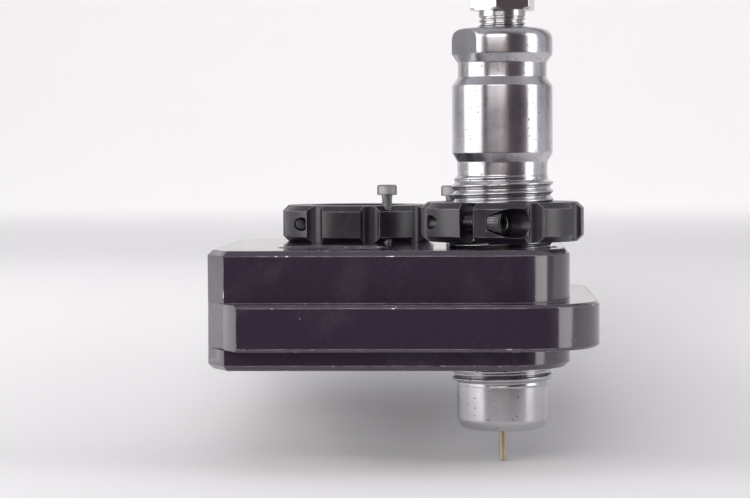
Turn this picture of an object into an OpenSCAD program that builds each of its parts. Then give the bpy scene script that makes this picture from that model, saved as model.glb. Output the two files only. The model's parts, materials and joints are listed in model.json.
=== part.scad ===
// Four-station die head for a bench press, with two floating clamp rings and one die.
// Origin: middle of the four stations, on the plate's top face. +X is the rounded front end,
// +Z is up along the dies. Every thread is drawn as a plain cylinder at its crest.

/* [Head plate] */
// Thickness of the plate
plate_h = 25.4; // [18:0.1:36]
// Length of the upper body, front to rear
body_len = 77.6; // [70:0.1:110]
// Width of the upper body, side to side
body_w = 77.6; // [72:0.1:110]
// Distance from the middle of the stations to the body's front face
front_reach = 33.1; // [31:0.1:45]
// Radius of the body's two front corners
body_corner_r = 15.6; // [4:0.1:20]
// How far the flange stands out from the body, at the sides and the front
flange_out = 6.2; // [3:0.1:10]
// Depth of the flange's upper face below the top face
flange_drop = 11.1; // [6:0.1:13]
// Thickness of the flange
flange_h = 9.8; // [4:0.1:11]
// Radius of the flange's two front corners
flange_corner_r = 18.5; // [6:0.1:24]
// Length of each rear bevel along the body's side
bevel_len = 4.1; // [1:0.1:8]
// Width of each rear bevel along the body's rear face
bevel_w = 7.9; // [2:0.1:14]
// Chamfer round the top and the bottom face
body_chamfer = 1.1; // [0.3:0.1:2]
// Chamfer on the flange's outer edges
flange_chamfer = 0.6; // [0.2:0.1:1.5]

/* [Stations] */
// Distance between neighbouring stations
station_pitch = 37.3; // [36:0.1:48]
// Crest diameter of the die thread
thread_d = 22.2; // [18:0.05:24]
// Radial clearance of a thread drawn as a plain cylinder
thread_gap = 0.05; // [0.02:0.01:0.1]
// Extra radial room that lets a floating die find its own centre
float_room = 0.35; // [0.1:0.05:0.8]
// Chamfer at the mouths of the four holes
mouth_chamfer = 0.5; // [0.2:0.1:1]

/* [Clamp rings] */
// Outer diameter of a clamp ring
ring_d = 35.3; // [33:0.1:37]
// Height of a clamp ring
ring_h = 8.5; // [7.5:0.1:14]
// Chamfer on a ring's outer edges
ring_chamfer = 1.3; // [0.3:0.1:1.6]
// Chamfer on a ring's bore
ring_bore_chamfer = 0.5; // [0.2:0.1:1]
// Number of scallops round the rim, spread evenly between the two beside the split
scallop_count = 7; // [5:1:9]
// Radius of a scallop
scallop_r = 2.5; // [1:0.1:3]
// Depth of a scallop
scallop_depth = 1.5; // [0.5:0.1:2]
// Angle from the split to the nearest scallop on either side
scallop_first = 49; // [44:0.5:56]
// Width of the split
split_w = 3.2; // [1:0.1:4]
// How far the die's ring is lifted off its seat
ring_lift = 1.4; // [0:0.1:2.4]
// Angle that the empty ring is swung round its stop screw
ring_swing = 18; // [0:1:30]

/* [Clamp screws] */
// Thread diameter of a clamp screw
clamp_d = 3; // [2:0.1:3.5]
// Length of a clamp screw under its head
clamp_len = 12; // [8:0.5:14]
// Head diameter of a clamp screw
clamp_head_d = 5.5; // [4:0.1:6]
// Head height of a clamp screw
clamp_head_h = 3; // [2:0.1:3.5]
// Key width of a clamp screw
clamp_key = 2.5; // [1.5:0.1:3]
// Distance of a clamp screw's axis from the ring's axis
clamp_reach = 14.2; // [13.5:0.05:14.6]
// Distance from the middle of the split to the seat under the head
clamp_seat = 4.4; // [3:0.1:6]
// Radial clearance round a clamp screw's head
clamp_head_room = 0.4; // [0.1:0.05:0.6]

/* [Stop screws] */
// Thread diameter of a stop screw
stop_d = 2.5; // [2:0.1:3]
// Length of a stop screw under its head
stop_len = 20; // [18:0.5:30]
// Head diameter of a stop screw
stop_head_d = 4.5; // [3.5:0.1:5]
// Head height of a stop screw
stop_head_h = 2.3; // [1.5:0.1:3]
// Key width of a stop screw
stop_key = 2; // [1.2:0.1:2.5]
// Distance of a stop screw from its station's axis
stop_reach = 15.9; // [14.5:0.1:16.2]
// Travel that a stop screw's head leaves a ring lying on its seat
float_travel = 2.5; // [1:0.1:4]
// Radial clearance of the ring's hole on the stop screw
stop_gap = 0.1; // [0.05:0.01:0.2]

/* [Die] */
// Diameter of the die's turned barrel
barrel_d = 21.85; // [18:0.05:22]
// Diameter of the groove under the head
upper_groove_d = 19.3; // [16:0.1:20]
// Diameter of the groove above the thread
lower_groove_d = 19.6; // [16:0.1:20]
// Diameter of the plain nose
nose_d = 19.9; // [16:0.1:21]
// Radius of the nose's outer edge
nose_edge_r = 2.4; // [0.5:0.1:3]
// Height of the thread's top above the ring's seat
thread_up = 12.9; // [11:0.1:20]
// Depth of the thread's lower end below the ring's seat
thread_down = 30.1; // [27:0.1:36]
// Length of the plain nose below the thread's run-out
nose_len = 9.6; // [5:0.1:20]
// Length of each cone between two diameters
cone_len = 1.9; // [1:0.1:3]
// Length of the lower groove
lower_groove_len = 3; // [2:0.1:6]
// Length of the barrel
barrel_len = 14.5; // [8:0.1:30]
// Length of the upper groove
upper_groove_len = 3.1; // [2:0.1:6]
// Height of the head, from its lower edge to its shoulder's top
head_h = 5.5; // [4:0.1:10]
// Radius of the head's shoulder
shoulder_r = 2.3; // [1:0.1:3]
// Rise of the head's crown towards the neck
crown_rise = 0.5; // [0.1:0.1:1]
// Width across the head's two wrench flats
flats_w = 19.05; // [17:0.05:21]
// Turn of the wrench flats
flats_turn = 30; // [0:1:180]
// Diameter of the chamber that takes the case
chamber_d = 12.2; // [8:0.1:14]
// Depth of the chamber
chamber_depth = 40; // [25:0.5:46]
// Diameter of the bore above the chamber
neck_bore_d = 8.8; // [8:0.1:9.4]

/* [Decapping unit] */
// Thread diameter of the bush that screws into the die
bush_d = 10.2; // [9:0.1:12]
// Depth of the bush's thread in the die
bush_depth = 12; // [8:0.1:16]
// Gap between the die's crown and the bush's hexagon
bush_gap = 3.4; // [0:0.1:6]
// Width across the bush's hexagon
hex_w = 13; // [11.5:0.1:17]
// Height of the bush's hexagon
hex_h = 7; // [4:0.1:12]
// Turn of the bush's hexagon
hex_turn = 20; // [0:1:60]
// Diameter of the spindle
spindle_d = 5; // [4:0.1:6]
// Height of the spindle above the lock nut
spindle_top = 5; // [2:0.1:12]
// Width of the driver slot in the spindle's top
slot_w = 1; // [0.5:0.1:1.5]
// Depth of the driver slot
slot_depth = 1.5; // [0.5:0.1:2.5]
// Width across the lock nut
nut_w = 9.5; // [8:0.1:12]
// Height of the lock nut
nut_h = 4; // [3:0.1:8]
// Diameter of the expander button
button_d = 7.8; // [6.5:0.1:8]
// Height of the expander button
button_h = 7; // [4:0.1:10]
// Diameter of the pin holder
holder_d = 7.4; // [6.6:0.1:8]
// Length of the pin holder
holder_len = 10; // [8:0.1:14]
// Thickness of the pin holder's floor
holder_floor = 3; // [2:0.1:4]
// Height of the pin holder's lower face above the die's mouth
holder_rise = 9; // [6:0.1:12]
// Diameter of the decapping pin
pin_d = 1.6; // [1.2:0.05:2]
// Length of pin that stands out of the die's mouth
pin_out = 7.2; // [3:0.1:10]
// Diameter of the pin's head
pin_head_d = 3; // [2.2:0.1:4]
// Height of the pin's head
pin_head_h = 1.4; // [0.8:0.1:2]

/* [Hidden] */
$fn = 96;

cut = 1;                      // how far a cutting solid runs past the face it cuts
fillet_fn = 64;               // facets asked of small round solids
screw_chamfer = 0.3;          // chamfer on a screw's head and a nut's corners
socket_depth = 1.6;           // depth of a key socket
drill_past = 1.5;             // how far a blind hole runs past its screw's tip

half = station_pitch / 2;
die_at = [half, -half];       // the station that holds the die
spare_at = [-half, half];     // the station under the empty ring
near_open_at = [-half, -half];
far_open_at = [half, half];

rear_x = front_reach - body_len;
side_y = body_w / 2;
flange_y = side_y + flange_out;
flange_x = front_reach + flange_out;
flange_z = -flange_drop - flange_h;
bevel_slope = bevel_len / bevel_w;

tapped_r = thread_d / 2 + thread_gap;
float_r = thread_d / 2 + float_room;

ring_r = ring_d / 2;
scallop_step = (360 - 2 * scallop_first) / (scallop_count - 1);
split_turn = -26.5;                                     // the die ring's split, from -Y towards +X
stop_turn = 135;                                        // a stop screw's direction from the die station
stop_place = stop_turn + 90 - split_turn;               // the stop hole, from the split
clamp_edge = sqrt(ring_r * ring_r - clamp_reach * clamp_reach);
counterbore_r = clamp_head_d / 2 + clamp_head_room;

stop_die = [die_at.x + stop_reach * cos(stop_turn), die_at.y + stop_reach * sin(stop_turn)];
stop_spare = [spare_at.x - stop_reach * cos(stop_turn), spare_at.y - stop_reach * sin(stop_turn)];
stop_under = ring_h + float_travel;                     // height of the heads above the seats

// Heights on the die, from its ring's seat.
z_runout = -thread_down - (thread_d - nose_d) / 2;
z_mouth = z_runout - nose_len;
z_groove1 = thread_up + (thread_d - lower_groove_d) / 2;
z_groove1_top = z_groove1 + lower_groove_len;
z_barrel = z_groove1_top + cone_len;
z_barrel_top = z_barrel + barrel_len;
z_groove2 = z_barrel_top + cone_len;
z_groove2_top = z_groove2 + upper_groove_len;
z_head = z_groove2_top + cone_len;
z_shoulder = z_head + head_h;
z_crown = z_shoulder + crown_rise;
z_hex = z_crown + bush_gap;
z_hex_top = z_hex + hex_h;
z_nut_top = z_hex_top + nut_h;
z_holder = z_mouth + holder_rise;
z_holder_top = z_holder + holder_len;
chamber_top = z_mouth + chamber_depth;
chamber_cone = (chamber_d - neck_bore_d) / 2;

// ---- building blocks ----

// Outline of the plate: bevelled at the rear, with two round corners at the front.
module outline(x_front, y_side, corner_r) {
    out = y_side - side_y;
    difference() {
        polygon([
            [rear_x, -side_y + bevel_w], [rear_x + bevel_len + out * bevel_slope, -y_side],
            [x_front, -y_side], [x_front, y_side],
            [rear_x + bevel_len + out * bevel_slope, y_side], [rear_x, side_y - bevel_w]
        ]);
        for (s = [-1, 1])
            translate([x_front - corner_r, s * (y_side - corner_r)])
                difference() {
                    translate([0, s > 0 ? 0 : -corner_r - cut]) square([corner_r + cut, corner_r + cut]);
                    circle(r = corner_r);
                }
    }
}

// Wedge that chamfers one straight upper edge, which runs from a to b with the part on its left.
module edge_wedge(a, b, size) {
    run = b - a;
    reach = norm(run);
    translate([a.x, a.y, 0]) rotate([0, 0, atan2(run.y, run.x)])
        translate([-reach, 0, 0]) rotate([90, 0, 90])
            linear_extrude(height = 3 * reach)
                polygon([[-cut, -size - cut], [-cut, cut], [size + cut, cut]]);
}

// Round wedge that chamfers the upper edge of one front corner.
module corner_wedge(centre, corner_r, turn, size) {
    translate([centre.x, centre.y, 0]) rotate([0, 0, turn]) rotate_extrude(angle = 90)
        polygon([[corner_r + cut, -size - cut], [corner_r + cut, cut], [corner_r - size - cut, cut]]);
}

// All chamfer wedges of an upper edge at z = 0; the rear's are left out on the flange.
module rim_wedges(x_front, y_side, corner_r, size, rear) {
    bevel_x = rear_x + bevel_len + (y_side - side_y) * bevel_slope;
    edge_wedge([bevel_x, -y_side], [x_front, -y_side], size);
    edge_wedge([x_front, -y_side], [x_front, y_side], size);
    edge_wedge([x_front, y_side], [bevel_x, y_side], size);
    corner_wedge([x_front - corner_r, y_side - corner_r], corner_r, 0, size);
    corner_wedge([x_front - corner_r, corner_r - y_side], corner_r, -90, size);
    if (rear) {
        edge_wedge([bevel_x, y_side], [rear_x, side_y - bevel_w], size);
        edge_wedge([rear_x, side_y - bevel_w], [rear_x, bevel_w - side_y], size);
        edge_wedge([rear_x, bevel_w - side_y], [bevel_x, -y_side], size);
    }
}

// Plate of one outline between two heights, chamfered above and below.
module slab(z_low, z_high, x_front, y_side, corner_r, size, rear) {
    difference() {
        translate([0, 0, z_low]) linear_extrude(height = z_high - z_low) outline(x_front, y_side, corner_r);
        translate([0, 0, z_high]) rim_wedges(x_front, y_side, corner_r, size, rear);
        translate([0, 0, z_low]) mirror([0, 0, 1]) rim_wedges(x_front, y_side, corner_r, size, rear);
    }
}

// Hole right through the plate, chamfered at both mouths.
module station_hole(at, r) {
    translate([at.x, at.y, -plate_h - cut]) cylinder(r = r, h = plate_h + 2 * cut);
    for (z = [0, -plate_h])
        translate([at.x, at.y, z]) rotate_extrude()
            polygon([[0, -mouth_chamfer - r], [r + mouth_chamfer, 0], [0, mouth_chamfer + r]]);
}

// Round bar with a small chamfer at its upper end and its foot at z = 0.
module bar(d, h, size) {
    rotate_extrude() polygon([[0, 0], [d / 2, 0], [d / 2, h - size], [d / 2 - size, h], [0, h]]);
}

// Socket-head cap screw: underside of the head at z = 0, head up.
module cap_screw(d, len, head_d, head_h, key) {
    difference() {
        union() {
            bar(head_d, head_h, screw_chamfer, $fn = fillet_fn);
            translate([0, 0, -len]) cylinder(d = d, h = len + head_h / 4, $fn = fillet_fn);
        }
        translate([0, 0, head_h - min(socket_depth, head_h * 0.65)])
            cylinder(d = key / cos(30), h = head_h, $fn = 6);
    }
}

// Hexagon from z = 0 up, with turned corners at both ends.
module hexagon(w, h) {
    corner = w / cos(30) / 2;
    intersection() {
        cylinder(r = corner, h = h, $fn = 6);
        rotate_extrude() polygon([
            [0, 0], [corner - 2 * screw_chamfer, 0], [corner, 2 * screw_chamfer],
            [corner, h - 2 * screw_chamfer], [corner - 2 * screw_chamfer, h], [0, h]
        ]);
    }
}

// ---- rings: bore on the Z axis, seat at z = 0, split towards -Y ----

// Turns a direction measured from -Y towards +X into a rotation of something drawn on -Y.
module at_place(angle) {
    rotate([0, 0, angle]) children();
}

// Frame of a clamp screw: origin under its head, head towards +Z.
module at_clamp_screw() {
    translate([clamp_seat, -clamp_reach, ring_h / 2]) rotate([0, 90, 0]) children();
}

module clamp_ring() {
    bore_r = tapped_r;
    difference() {
        rotate_extrude() polygon([
            [bore_r + ring_bore_chamfer, 0], [ring_r - ring_chamfer, 0], [ring_r, ring_chamfer],
            [ring_r, ring_h - ring_chamfer], [ring_r - ring_chamfer, ring_h],
            [bore_r + ring_bore_chamfer, ring_h], [bore_r, ring_h - ring_bore_chamfer],
            [bore_r, ring_bore_chamfer]
        ]);
        for (k = [0 : scallop_count - 1])
            at_place(scallop_first + k * scallop_step)
                translate([0, -ring_r + scallop_depth - scallop_r, -cut])
                    cylinder(r = scallop_r, h = ring_h + 2 * cut, $fn = fillet_fn);
        translate([-split_w / 2, -ring_r - cut, -cut]) cube([split_w, ring_r + cut, ring_h + 2 * cut]);
        at_clamp_screw() {
            translate([0, 0, -clamp_seat - clamp_edge - cut])
                cylinder(d = clamp_d + 2 * thread_gap, h = clamp_seat + clamp_edge + 2 * cut, $fn = fillet_fn);
            cylinder(r = counterbore_r, h = ring_r, $fn = fillet_fn);
        }
        at_place(stop_place) translate([0, -stop_reach, -cut])
            cylinder(d = stop_d + 2 * stop_gap, h = ring_h + 2 * cut, $fn = fillet_fn);
    }
}

// Place of the die's ring: over its station, lifted, with its split turned to the near left.
module at_die_ring() {
    translate([die_at.x, die_at.y, ring_lift]) rotate([0, 0, split_turn]) children();
}

// Place of the empty ring: turned over, on its seat, and swung round its stop screw.
module at_spare_ring() {
    translate([stop_spare.x, stop_spare.y, 0])
        rotate([0, 0, stop_turn - ring_swing - 90])
            translate([0, stop_reach, ring_h]) rotate([180, 0, 180]) rotate([0, 0, -stop_place]) children();
}

module at_die() {
    translate([die_at.x, die_at.y, ring_lift]) children();
}

// ---- nodes ----

module head_plate() {
    color("#2c2530") difference() {
        union() {
            slab(-plate_h, 0, front_reach, side_y, body_corner_r, body_chamfer, true);
            slab(flange_z, -flange_drop, flange_x, flange_y, flange_corner_r, flange_chamfer, false);
        }
        for (at = [near_open_at, far_open_at]) station_hole(at, tapped_r);
        for (at = [die_at, spare_at]) station_hole(at, float_r);
        for (at = [stop_die, stop_spare])
            translate([at.x, at.y, stop_under - stop_len - drill_past])
                cylinder(d = stop_d + 2 * thread_gap, h = stop_len, $fn = fillet_fn);
    }
}

module die_clamp_ring() {
    color("#4a4a50") at_die_ring() clamp_ring();
}

module spare_clamp_ring() {
    color("#4a4a50") at_spare_ring() clamp_ring();
}

module die_ring_clamp_screw() {
    color("#8b8b90") at_die_ring() at_clamp_screw()
        cap_screw(clamp_d, clamp_len, clamp_head_d, clamp_head_h, clamp_key);
}

module spare_ring_clamp_screw() {
    color("#8b8b90") at_spare_ring() at_clamp_screw()
        cap_screw(clamp_d, clamp_len, clamp_head_d, clamp_head_h, clamp_key);
}

module die_ring_stop_screw() {
    color("#a9a9ad") translate([stop_die.x, stop_die.y, stop_under])
        cap_screw(stop_d, stop_len, stop_head_d, stop_head_h, stop_key);
}

module spare_ring_stop_screw() {
    color("#a9a9ad") translate([stop_spare.x, stop_spare.y, stop_under])
        cap_screw(stop_d, stop_len, stop_head_d, stop_head_h, stop_key);
}

module die_body() {
    barrel_r = barrel_d / 2;
    color("#b9b9bd") at_die() difference() {
        rotate_extrude() union() {
            polygon([
                [0, z_mouth], [nose_d / 2 - nose_edge_r, z_mouth], [nose_d / 2, z_mouth + nose_edge_r],
                [nose_d / 2, z_runout], [thread_d / 2, -thread_down], [thread_d / 2, thread_up],
                [lower_groove_d / 2, z_groove1], [lower_groove_d / 2, z_groove1_top], [barrel_r, z_barrel],
                [barrel_r, z_barrel_top], [upper_groove_d / 2, z_groove2], [upper_groove_d / 2, z_groove2_top],
                [barrel_r, z_head], [barrel_r, z_shoulder - shoulder_r], [barrel_r - shoulder_r, z_shoulder],
                [bush_d / 2, z_crown], [0, z_crown]
            ]);
            translate([nose_d / 2 - nose_edge_r, z_mouth + nose_edge_r]) circle(r = nose_edge_r, $fn = fillet_fn);
            translate([barrel_r - shoulder_r, z_shoulder - shoulder_r]) circle(r = shoulder_r, $fn = fillet_fn);
        }
        rotate([0, 0, flats_turn]) for (s = [-1, 1])
            translate([s > 0 ? flats_w / 2 : -flats_w / 2 - barrel_d, -barrel_d, z_groove2_top])
                cube([barrel_d, 2 * barrel_d, z_crown]);
        rotate_extrude() polygon([
            [0, z_mouth - cut], [chamber_d / 2, z_mouth - cut], [chamber_d / 2, chamber_top],
            [neck_bore_d / 2, chamber_top + chamber_cone], [neck_bore_d / 2, z_crown + cut], [0, z_crown + cut]
        ]);
        translate([0, 0, z_crown - bush_depth - drill_past])
            cylinder(d = bush_d + 2 * thread_gap, h = bush_depth + drill_past + cut);
    }
}

module hex_bush() {
    color("#c9c9cc") at_die() difference() {
        union() {
            translate([0, 0, z_hex]) rotate([0, 0, hex_turn]) hexagon(hex_w, hex_h);
            translate([0, 0, z_crown - bush_depth]) cylinder(d = bush_d, h = bush_depth + bush_gap + hex_h / 2);
        }
        translate([0, 0, z_crown - bush_depth - cut])
            cylinder(d = spindle_d + 2 * thread_gap, h = bush_depth + bush_gap + hex_h + 2 * cut, $fn = fillet_fn);
    }
}

module spindle() {
    z_foot = z_holder + holder_floor + pin_head_h;
    color("#b0b0b4") at_die() difference() {
        translate([0, 0, z_foot]) bar(spindle_d, z_nut_top + spindle_top - z_foot, screw_chamfer, $fn = fillet_fn);
        translate([-spindle_d, -slot_w / 2, z_nut_top + spindle_top - slot_depth])
            cube([2 * spindle_d, slot_w, slot_depth + cut]);
    }
}

module spindle_lock_nut() {
    color("#a2a2a6") at_die() difference() {
        translate([0, 0, z_hex_top]) rotate([0, 0, -hex_turn]) hexagon(nut_w, nut_h);
        translate([0, 0, z_hex_top - cut])
            cylinder(d = spindle_d + 2 * thread_gap, h = nut_h + 2 * cut, $fn = fillet_fn);
    }
}

module expander_button() {
    button_r = button_d / 2;
    taper = button_r - holder_d / 2 + 2 * screw_chamfer;
    color("#cfcfd2") at_die() difference() {
        translate([0, 0, z_holder_top]) rotate_extrude() polygon([
            [0, 0], [button_r - taper, 0], [button_r, taper], [button_r, button_h - taper],
            [button_r - taper, button_h], [0, button_h]
        ]);
        translate([0, 0, z_holder_top - cut])
            cylinder(d = spindle_d + 2 * thread_gap, h = button_h + 2 * cut, $fn = fillet_fn);
    }
}

module pin_holder() {
    color("#95959a") at_die() difference() {
        translate([0, 0, z_holder_top]) mirror([0, 0, 1]) bar(holder_d, holder_len, 2 * screw_chamfer);
        translate([0, 0, z_holder + holder_floor])
            cylinder(d = spindle_d + 2 * thread_gap, h = holder_len, $fn = fillet_fn);
        translate([0, 0, z_holder - cut])
            cylinder(d = pin_d + 2 * thread_gap, h = holder_floor + 2 * cut, $fn = fillet_fn);
    }
}

module decapping_pin() {
    z_tip = z_mouth - pin_out;
    color("#b4ab92") at_die() union() {
        translate([0, 0, z_holder + holder_floor + pin_head_h]) mirror([0, 0, 1])
            bar(pin_d, z_holder + holder_floor + pin_head_h - z_tip, screw_chamfer / 2, $fn = fillet_fn);
        translate([0, 0, z_holder + holder_floor]) cylinder(d = pin_head_d, h = pin_head_h, $fn = fillet_fn);
    }
}

head_plate();
die_clamp_ring();
spare_clamp_ring();
die_ring_clamp_screw();
spare_ring_clamp_screw();
die_ring_stop_screw();
spare_ring_stop_screw();
die_body();
hex_bush();
spindle();
spindle_lock_nut();
expander_button();
pin_holder();
decapping_pin();
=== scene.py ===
"""Finishes a four-station die head: machined edges, cut threads, materials, a studio and a camera."""

import json
import math

import bmesh
import bpy
import numpy as np
from mathutils import Euler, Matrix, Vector


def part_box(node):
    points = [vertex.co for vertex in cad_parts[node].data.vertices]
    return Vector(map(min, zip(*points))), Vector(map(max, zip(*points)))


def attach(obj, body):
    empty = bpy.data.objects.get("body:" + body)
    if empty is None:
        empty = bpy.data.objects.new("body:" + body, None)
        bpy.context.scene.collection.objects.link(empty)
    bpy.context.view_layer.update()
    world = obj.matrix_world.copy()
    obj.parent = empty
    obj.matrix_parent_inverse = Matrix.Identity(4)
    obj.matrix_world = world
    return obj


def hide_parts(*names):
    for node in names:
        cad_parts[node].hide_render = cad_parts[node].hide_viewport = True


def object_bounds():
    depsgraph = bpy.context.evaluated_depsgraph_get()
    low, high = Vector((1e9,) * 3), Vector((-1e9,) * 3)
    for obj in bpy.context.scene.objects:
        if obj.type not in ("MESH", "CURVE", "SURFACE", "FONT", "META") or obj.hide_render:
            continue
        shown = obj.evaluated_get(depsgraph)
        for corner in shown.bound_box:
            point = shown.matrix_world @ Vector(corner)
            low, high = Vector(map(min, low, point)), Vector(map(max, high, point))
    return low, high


bl_info = {
    "name": "Die head finisher",
    "version": (1, 0, 0),
    "blender": (4, 5, 0),
    "location": "View3D > Sidebar > Die head",
    "description": "Cuts the threads, rounds the edges and finishes the metal of a four-station die head",
    "category": "Object",
}

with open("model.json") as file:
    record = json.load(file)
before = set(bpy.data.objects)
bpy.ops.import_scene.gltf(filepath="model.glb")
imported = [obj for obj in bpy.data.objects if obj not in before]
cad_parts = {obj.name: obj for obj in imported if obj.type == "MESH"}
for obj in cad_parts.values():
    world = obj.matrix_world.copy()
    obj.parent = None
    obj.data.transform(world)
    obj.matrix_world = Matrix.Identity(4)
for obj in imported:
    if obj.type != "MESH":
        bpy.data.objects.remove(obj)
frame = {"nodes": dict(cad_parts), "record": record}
CAD_LOW, CAD_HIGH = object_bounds()

MM = 0.001
TURN = 2 * math.pi


def middle(node_name):
    """Centre of a node's box."""
    low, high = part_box(node_name)
    return (low + high) / 2


DIE_AXIS = middle("decapping_pin")
DIE_LOW, DIE_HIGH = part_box("die_body")
JOINTS = {joint["name"]: joint for joint in frame["record"]["behaviour"]["joints"]}
MOUNTS = {mount["name"]: mount for mount in frame["record"]["mounts"]}


# ---- sizes and colours ----

def size(name, millimetres, text):
    """A length property, given in millimetres and kept in metres."""
    return bpy.props.FloatProperty(
        name=name, description=text, default=millimetres * MM, min=0.0, unit="LENGTH", precision=5)


def angle(name, degrees, text):
    """An angle property, given in degrees."""
    return bpy.props.FloatProperty(
        name=name, description=text, default=math.radians(degrees), unit="ROTATION")


def watts(name, power, text):
    """The power of a light, in watts."""
    return bpy.props.FloatProperty(name=name, description=text, default=power, min=0.0)


def colour(name, hex_code, text):
    """A colour property, given as an sRGB hex code and kept linear."""
    return bpy.props.FloatVectorProperty(
        name=name, description=text, default=linear(hex_code)[:3], size=3, min=0.0, max=1.0, subtype="COLOR")


def linear(hex_code):
    """Turns an sRGB hex code into linear red, green, blue and alpha."""
    parts = [int(hex_code[i:i + 2], 16) / 255 for i in (1, 3, 5)]
    return tuple(c / 12.92 if c <= 0.04045 else ((c + 0.055) / 1.055) ** 2.4 for c in parts) + (1.0,)


class HeadThreads(bpy.types.PropertyGroup):
    """Threads cut into the plate."""

    die_pitch: size("Die thread pitch", 25.4 / 14, "Pitch of the die thread, fourteen turns to the inch")
    die_depth: size("Die thread depth", 0.85, "Depth of the die thread, from crest to root")
    sleeve_wall: size("Thread seat", 0.08, "How far an internal thread's root sits inside the hole's wall")
    mouth: size("Mouth", 0.6, "Length of plain chamfer at a hole's mouth, where the thread runs out")


class EdgeSizes(bpy.types.PropertyGroup):
    """How far the tools left the sharp edges rounded."""

    plate: size("Plate edges", 0.14, "Rounding of the plate's edges")
    ring: size("Ring edges", 0.12, "Rounding of the rings' edges")
    small: size("Small edges", 0.08, "Rounding of edges on screws, nut and bush")


class DieSizes(bpy.types.PropertyGroup):
    """Outside and inside of the turned die, from its mouth up."""

    thread_r: size("Thread radius", 11.1, "Crest radius of the die's thread")
    nose_r: size("Nose radius", 9.95, "Radius of the plain nose")
    nose_edge: size("Nose edge", 2.4, "Rounding of the nose's outer edge")
    nose_len: size("Nose length", 9.6, "Length of the plain nose")
    thread_len: size("Thread length", 43.0, "Length of thread between its two ends")
    lower_groove_r: size("Lower groove radius", 9.8, "Radius of the groove above the thread")
    lower_groove_len: size("Lower groove length", 3.0, "Length of the groove above the thread")
    cone_len: size("Cone length", 1.9, "Length of each cone between two radii")
    barrel_r: size("Barrel radius", 10.925, "Radius of the barrel and the head")
    barrel_len: size("Barrel length", 14.5, "Length of the barrel")
    upper_groove_r: size("Upper groove radius", 9.65, "Radius of the groove under the head")
    upper_groove_len: size("Upper groove length", 3.1, "Length of the groove under the head")
    head_len: size("Head length", 5.5, "Height of the head up to its shoulder")
    shoulder_r: size("Shoulder rounding", 2.3, "Rounding of the head's shoulder")
    crown_rise: size("Crown rise", 0.5, "Rise of the crown towards the bush")
    flat_reach: size("Wrench flats", 9.525, "Distance of each wrench flat from the axis")
    flat_turn: angle("Turn of the flats", 30, "Direction that one of the wrench flats faces")
    chamber_r: size("Chamber radius", 6.1, "Radius of the chamber")
    chamber_depth: size("Chamber depth", 40, "Depth of the chamber")
    bore_r: size("Bore radius", 4.4, "Radius of the bore above the chamber")
    bush_hole_r: size("Bush hole radius", 5.15, "Radius of the hole that takes the bush")
    bush_hole_depth: size("Bush hole depth", 13.5, "Depth of the hole that takes the bush")
    edge: size("Turned edge", 0.16, "Rounding of the die's turned edges")


class UnitSizes(bpy.types.PropertyGroup):
    """The adjustable unit in the middle of the die."""

    bush_r: size("Bush thread radius", 5.1, "Crest radius of the bush's thread")
    bush_pitch: size("Bush thread pitch", 1.0, "Pitch of the bush's thread")
    bush_depth: size("Bush thread depth", 0.5, "Depth of the bush's thread")
    plain_neck: size("Plain neck", 1.3, "Length of unthreaded neck under the hexagon")
    hex_reach: size("Half width across the hexagon", 6.5, "Distance of the hexagon's faces from the axis")
    hex_len: size("Height of the hexagon", 7.0, "Height of the bush's hexagon")
    hex_turn: angle("Turn of the hexagon", 20, "Direction of one of the hexagon's corners")
    spindle_r: size("Spindle radius", 2.5, "Crest radius of the spindle's thread")
    spindle_pitch: size("Spindle pitch", 0.8, "Pitch of the spindle's thread")
    spindle_depth: size("Spindle thread depth", 0.4, "Depth of the spindle's thread")
    slot_width: size("Slot width", 1.0, "Width of the driver slot")
    slot_depth: size("Slot depth", 1.5, "Depth of the driver slot")
    nut_reach: size("Half width across the nut", 4.75, "Distance of the lock nut's faces from the axis")


class ScrewSizes(bpy.types.PropertyGroup):
    """Socket-head cap screws."""

    clamp_r: size("Clamp screw radius", 1.5, "Crest radius of a clamp screw")
    clamp_pitch: size("Clamp screw pitch", 0.5, "Pitch of a clamp screw")
    clamp_head_r: size("Clamp head radius", 2.75, "Radius of a clamp screw's head")
    clamp_head_len: size("Clamp head height", 3.0, "Height of a clamp screw's head")
    clamp_len: size("Clamp screw length", 12.0, "Length of a clamp screw under its head")
    clamp_key: size("Clamp key", 2.5, "Width of a clamp screw's key")
    stop_r: size("Stop screw radius", 1.25, "Crest radius of a stop screw")
    stop_pitch: size("Stop screw pitch", 0.45, "Pitch of a stop screw")
    stop_head_r: size("Stop head radius", 2.25, "Radius of a stop screw's head")
    stop_head_len: size("Stop head height", 2.3, "Height of a stop screw's head")
    stop_len: size("Stop screw length", 20.0, "Length of a stop screw under its head")
    stop_key: size("Stop key", 2.0, "Width of a stop screw's key")
    knurl: size("Knurl depth", 0.07, "Depth of the straight knurl round a head")


class FinishColours(bpy.types.PropertyGroup):
    """Colours of the metal finishes."""

    anodise: colour("Anodise", "#2c2130", "Black anodised plate")
    anodise_light: colour("Anodise, light", "#33273a", "Paler patches in the anodised layer")
    # Pale violet-grey of the plate's rounded edges: partly a painted highlight along the edges, partly a thin
    # anodised layer. The cutter traces use it too.
    edge_highlight_and_trace: colour("Anodise edge", "#8d8391", "Edges where the anodised layer is thin")
    dust: colour("Dust", "#cfcad2", "Specks of dust")
    ring: colour("Blackened ring", "#211926", "Blackened steel of the rings")
    # Pale grey of the rings' rounded edges: partly bare steel from rubbing, partly a painted highlight along
    # the edges.
    ring_rim_and_highlight: colour("Ring edge", "#77747a", "Edges of the rings, worn to bare steel")
    die: colour("Polished steel", "#cccbcf", "Polished steel of the die")
    bright: colour("Bright steel", "#d2d1d2", "Turned steel of bush, nut and screws")
    screw: colour("Blackened screw", "#7b7a7d", "Blackened screws, rubbed bright")
    pin: colour("Drawn wire", "#c2b69c", "Steel wire of the pin")
    floor: colour("Floor", "#fcfcfd", "Studio floor and backdrop")


# ---- surfaces ----

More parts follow.
